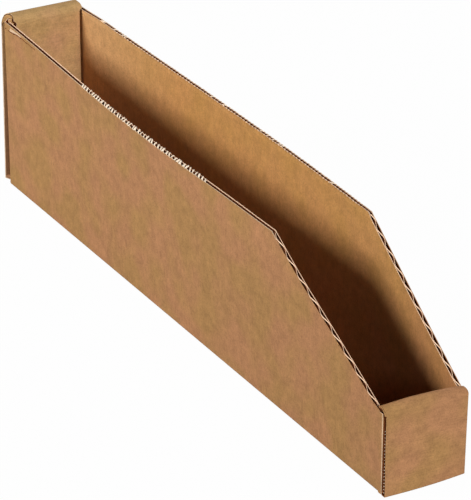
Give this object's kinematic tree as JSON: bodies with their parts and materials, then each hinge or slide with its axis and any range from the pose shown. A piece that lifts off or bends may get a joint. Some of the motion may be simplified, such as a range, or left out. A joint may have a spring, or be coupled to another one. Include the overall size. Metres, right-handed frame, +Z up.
{
  "type": "corrugated bin box",
  "caption": "Long narrow open-top storage bin folded from one sheet of brown corrugated board, with a high back, a low front and a sloped edge between them.",
  "frame": {"origin": "middle of the footprint, on the surface the box stands on", "axes": "+Z up, Y along the box with the low open front at -Y, X across it"},
  "size_m": [0.0682, 0.4816, 0.1208],
  "materials": {
    "kraft_board": "matt brown kraft paper"
  },
  "bodies": {
    "root": {"bin_box": "kraft_board"}
  },
  "joints": []
}
